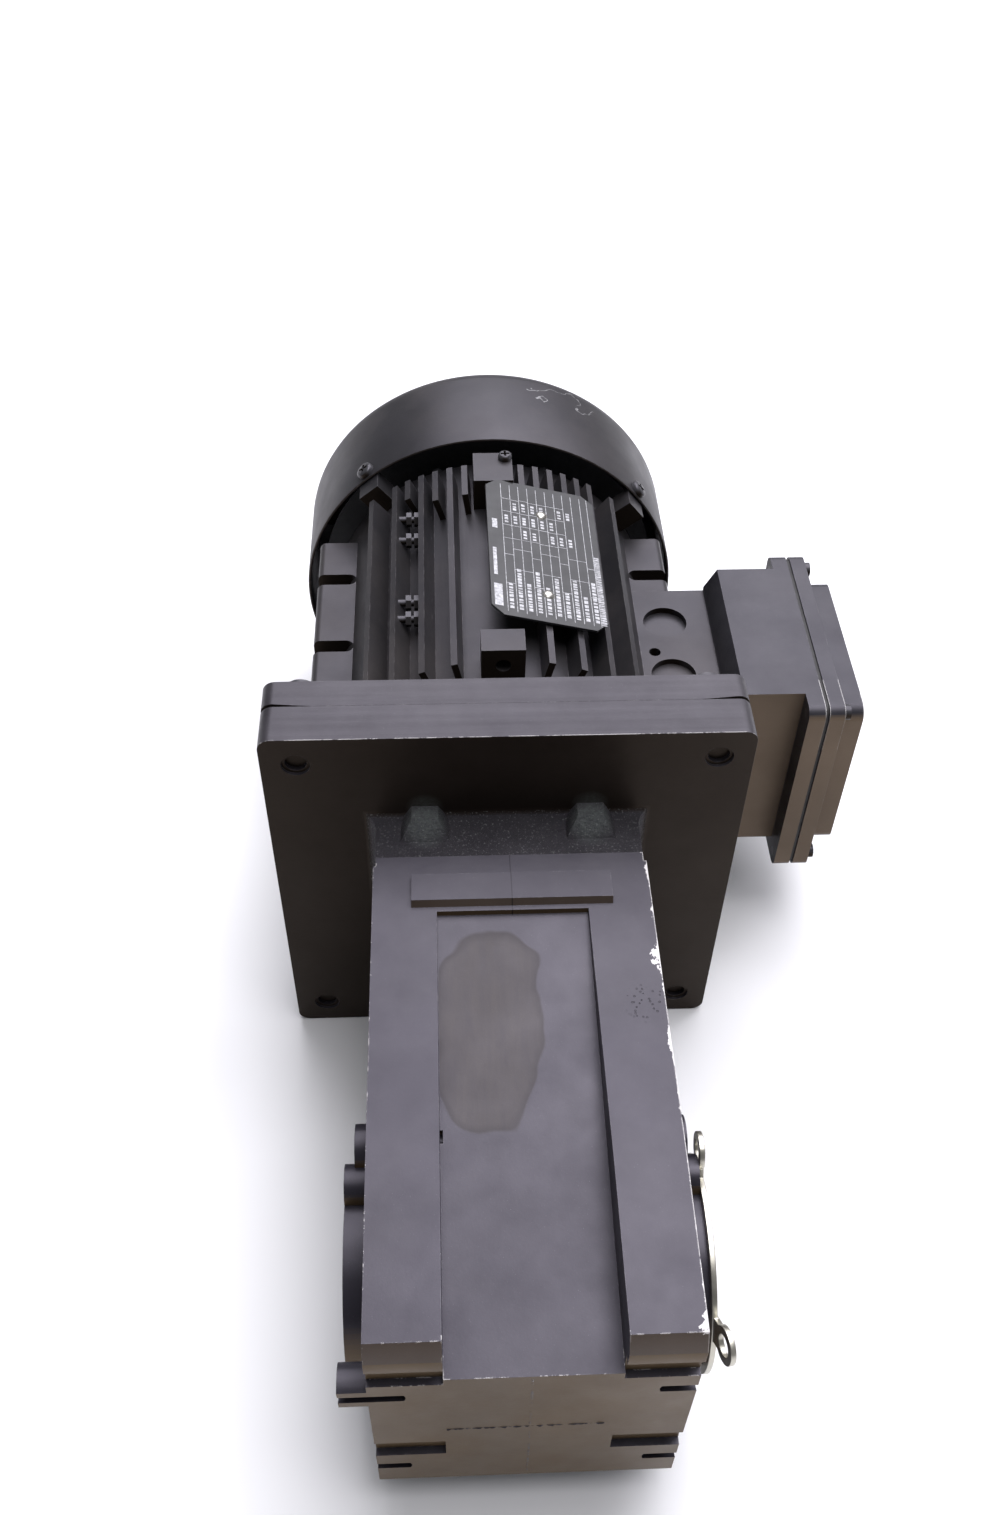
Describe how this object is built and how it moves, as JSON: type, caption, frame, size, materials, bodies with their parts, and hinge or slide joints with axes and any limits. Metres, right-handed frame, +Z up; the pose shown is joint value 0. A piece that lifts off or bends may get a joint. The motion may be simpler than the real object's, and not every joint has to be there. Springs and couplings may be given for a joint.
{
  "type": "bevel geared motor",
  "caption": "Right-angle gearbox with a hollow output shaft, a square flange and a fan-cooled finned motor with a side terminal box.",
  "frame": {"origin": "centre of the hollow output shaft's bore", "axes": "+X along the output shaft towards the terminal box side, +Y towards the motor's fan cowl, +Z up"},
  "size_m": [0.24, 0.444, 0.1806],
  "materials": {
    "housing_paint": "semi-gloss black paint over a fine cast surface",
    "flange_paint": "semi-gloss black paint over turned cast iron",
    "motor_paint": "satin black paint over die-cast aluminium",
    "box_paint": "satin black paint over die-cast aluminium",
    "zinc_plate": "dull zinc plate",
    "dark_screw_steel": "overpainted screw heads",
    "bright_screw_steel": "zinc-plated screws",
    "nameplate_print": "black plate with a plain light grid",
    "seal_rubber": "matt moulded rubber",
    "black_plastic": "matt moulded plastic",
    "board_plastic": "moulded terminal board",
    "lamination_steel": "stacked electrical sheet",
    "copper_winding": "varnished copper wire",
    "cast_aluminium": "as cast",
    "ground_steel": "ground and lightly oiled",
    "gear_steel": "case-hardened and ground",
    "bearing_steel": "polished"
  },
  "bodies": {
    "housing": {"blanking_plugs": "black_plastic", "box_adaptor": "motor_paint", "box_screws": "bright_screw_steel", "counter_bearing_outer_left": "bearing_steel", "counter_bearing_outer_right": "bearing_steel", "counter_bore_caps": "housing_paint", "cover_ring": "zinc_plate", "cowl_screws": "dark_screw_steel", "drain_plug": "dark_screw_steel", "drive_end_flange": "flange_paint", "fan_cowl": "motor_paint", "filler_plug": "dark_screw_steel", "flange_bolts": "dark_screw_steel", "frame_studs": "dark_screw_steel", "gear_housing": "housing_paint", "input_flange": "housing_paint", "input_seal": "seal_rubber", "lid_screws": "dark_screw_steel", "motor_bearing_outer_front": "bearing_steel", "motor_bearing_outer_rear": "bearing_steel", "nameplate": "nameplate_print", "nameplate_screws": "bright_screw_steel", "neck_screws": "dark_screw_steel", "output_bearing_outer_left": "bearing_steel", "output_bearing_outer_right": "bearing_steel", "output_seal_left": "seal_rubber", "output_seal_right": "seal_rubber", "pinion_bearing_outer": "bearing_steel", "rear_end_shield": "motor_paint", "shield_screws": "dark_screw_steel", "side_cover": "housing_paint", "side_cover_gasket": "seal_rubber", "side_cover_screws": "dark_screw_steel", "stator_core": "lamination_steel", "stator_housing": "motor_paint", "stator_winding": "copper_winding", "terminal_board": "board_plastic", "terminal_box": "box_paint", "terminal_box_gasket": "seal_rubber", "terminal_box_lid": "box_paint", "terminal_studs": "bright_screw_steel"},
    "rotor": {"bevel_pinion": "gear_steel", "fan": "black_plastic", "fan_circlip": "bright_screw_steel", "motor_bearing_inner_front": "bearing_steel", "motor_bearing_inner_rear": "bearing_steel", "pinion_bearing_inner": "bearing_steel", "rotor_core": "lamination_steel", "rotor_end_rings": "cast_aluminium", "rotor_shaft": "ground_steel"},
    "counter": {"bevel_wheel": "gear_steel", "counter_bearing_inner_left": "bearing_steel", "counter_bearing_inner_right": "bearing_steel", "counter_shaft": "gear_steel"},
    "output": {"hollow_shaft": "ground_steel", "output_bearing_inner_left": "bearing_steel", "output_bearing_inner_right": "bearing_steel", "output_gear": "gear_steel", "output_key": "ground_steel", "output_spacers": "ground_steel"}
  },
  "joints": [
    {"name": "rotor_spin", "type": "hinge", "parent": "housing", "child": "rotor", "pos_m": [0, 0.25, 0.021], "axis": [0, 1, 0], "continuous": true},
    {"name": "counter_spin", "type": "hinge", "parent": "housing", "child": "counter", "pos_m": [0, 0.04975, 0.021], "axis": [1, 0, 0], "continuous": true},
    {"name": "output_spin", "type": "hinge", "parent": "housing", "child": "output", "pos_m": [0, 0, 0], "axis": [1, 0, 0], "continuous": true}
  ],
  "couplings": [
    {"joint": "counter_spin", "follows": "rotor_spin", "ratio": -0.41935},
    {"joint": "output_spin", "follows": "rotor_spin", "ratio": 0.19268}
  ]
}
